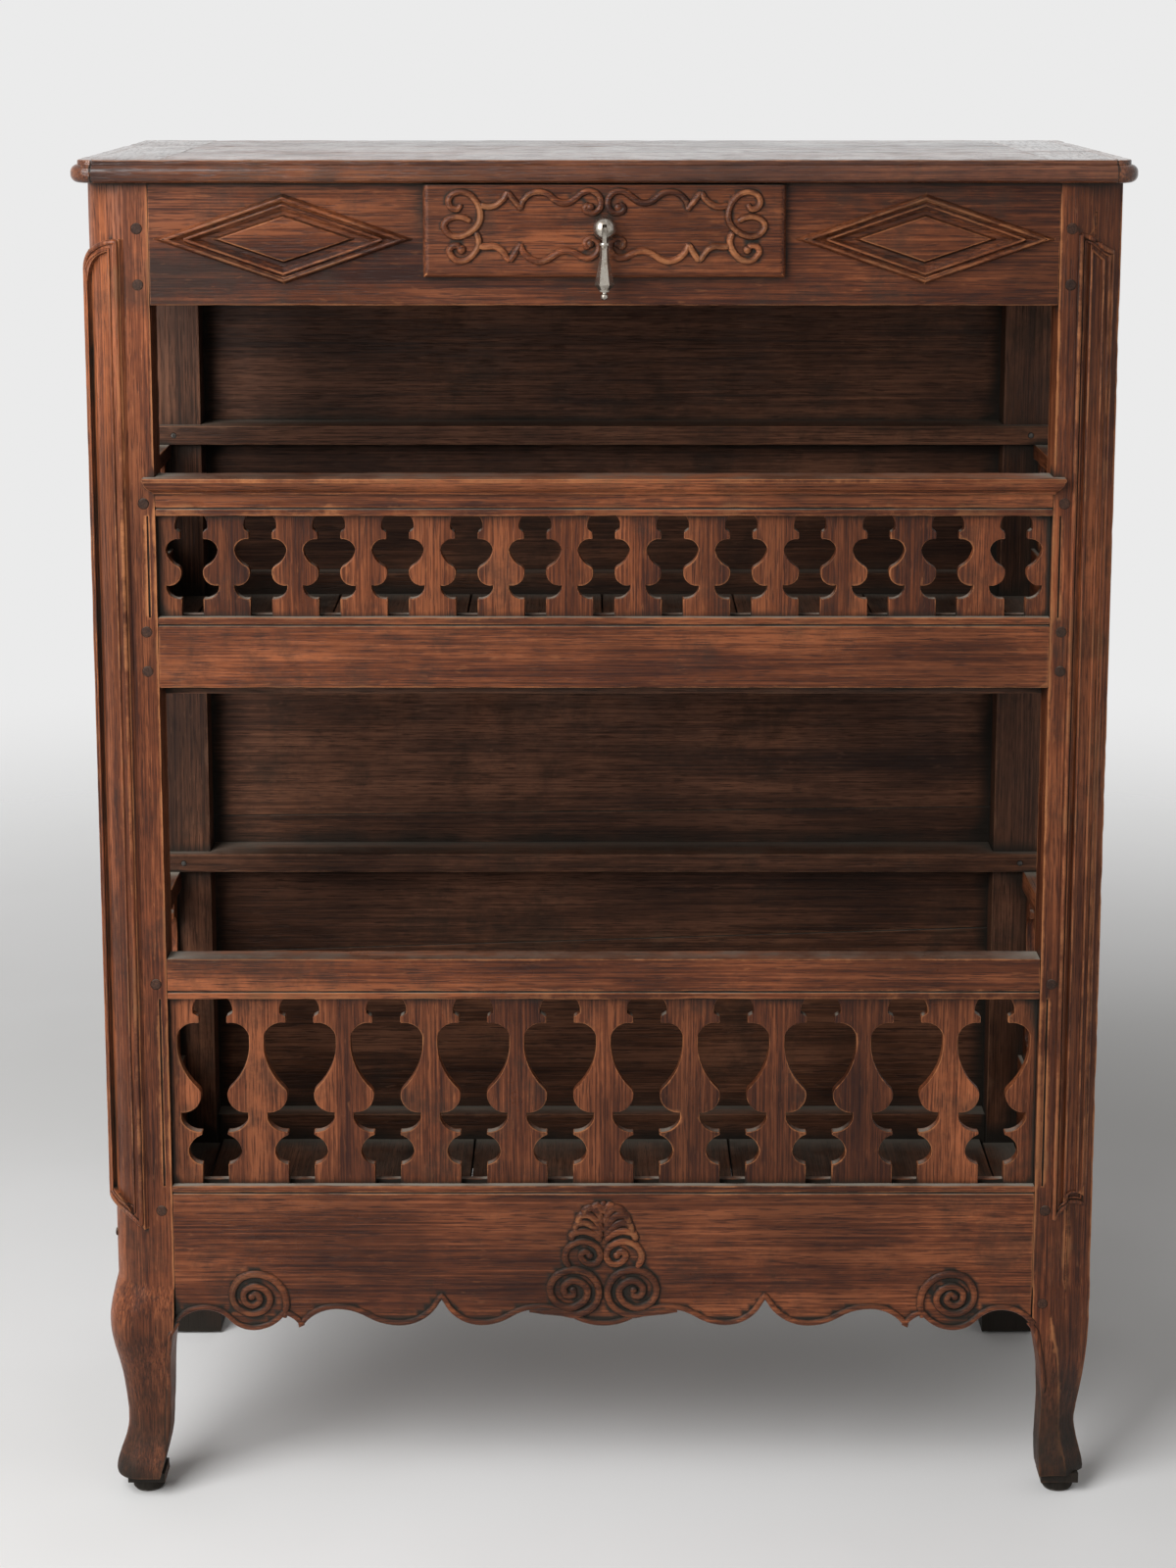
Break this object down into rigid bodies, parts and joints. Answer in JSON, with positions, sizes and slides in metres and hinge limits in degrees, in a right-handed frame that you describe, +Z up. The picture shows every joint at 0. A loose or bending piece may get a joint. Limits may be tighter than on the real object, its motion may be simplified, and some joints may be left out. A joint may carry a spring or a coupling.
{
  "type": "kitchen dresser",
  "caption": "Open provincial kitchen dresser: moulded top, drawer with drop pull, board shelves behind sawn baluster galleries, scalloped apron, cabriole front legs.",
  "frame": {"origin": "centre of the bounding box in plan, on the floor", "axes": "+Z up, -Y out of the front, +X to the right seen from the front"},
  "size_m": [0.93, 0.4458, 1.25],
  "materials": {
    "case_wood": "dark waxed, worn to orange brown on the edges",
    "top_wood": "dark wax polish",
    "inner_wood": "dark, dry, unpolished",
    "peg_wood": "end grain, dark",
    "pull_metal": "aged and tarnished",
    "iron": "dull, worn"
  },
  "bodies": {
    "carcass": {"apron_front": "case_wood", "back_board_1": "inner_wood", "back_board_2": "inner_wood", "back_board_3": "inner_wood", "back_board_4": "inner_wood", "back_board_5": "inner_wood", "balusters_lower_front": "case_wood", "balusters_lower_sides": "case_wood", "balusters_upper_front": "case_wood", "balusters_upper_sides": "case_wood", "bottom_rail_upper_front": "case_wood", "drawer_runner_left": "inner_wood", "drawer_runner_right": "inner_wood", "floor_boards_lower": "inner_wood", "floor_boards_upper": "inner_wood", "floor_cleats": "inner_wood", "foot_glides": "iron", "foot_pads": "case_wood", "front_post_left": "case_wood", "front_post_right": "case_wood", "gallery_rail_lower_front": "case_wood", "gallery_rail_upper_front": "case_wood", "joint_pegs": "peg_wood", "ledge_moulding": "case_wood", "ledge_nails": "iron", "rear_bottom_rail": "inner_wood", "rear_floor_rail_upper": "inner_wood", "rear_ledge_lower": "inner_wood", "rear_ledge_upper": "inner_wood", "rear_post_left": "inner_wood", "rear_post_right": "inner_wood", "rear_top_rail": "inner_wood", "side_apron_left": "case_wood", "side_apron_right": "case_wood", "side_bottom_rail_upper_left": "case_wood", "side_bottom_rail_upper_right": "case_wood", "side_gallery_rail_lower_left": "case_wood", "side_gallery_rail_lower_right": "case_wood", "side_gallery_rail_upper_left": "case_wood", "side_gallery_rail_upper_right": "case_wood", "side_top_rail_left": "case_wood", "side_top_rail_right": "case_wood", "top_board_front": "top_wood", "top_board_middle": "top_wood", "top_board_rear": "top_wood", "top_end_left": "top_wood", "top_end_right": "top_wood", "top_moulding_front": "top_wood", "top_moulding_left": "top_wood", "top_moulding_right": "top_wood", "top_rail_front": "case_wood"},
    "drawer": {"drawer_back": "inner_wood", "drawer_bottom": "inner_wood", "drawer_front": "case_wood", "drawer_side_left": "inner_wood", "drawer_side_right": "inner_wood", "pull_knob": "pull_metal", "pull_nut": "pull_metal", "pull_pin": "pull_metal"},
    "drop": {"pull_drop": "pull_metal"}
  },
  "joints": [
    {"name": "drawer_slide", "type": "slide", "parent": "carcass", "child": "drawer", "axis": [0, -1, 0], "range_m": [0, 0.26]},
    {"name": "drop_swing", "type": "hinge", "parent": "drawer", "child": "drop", "pos_m": [0, -0.213, 1.192], "axis": [-1, 0, 0], "range_deg": [-5, 90]}
  ]
}
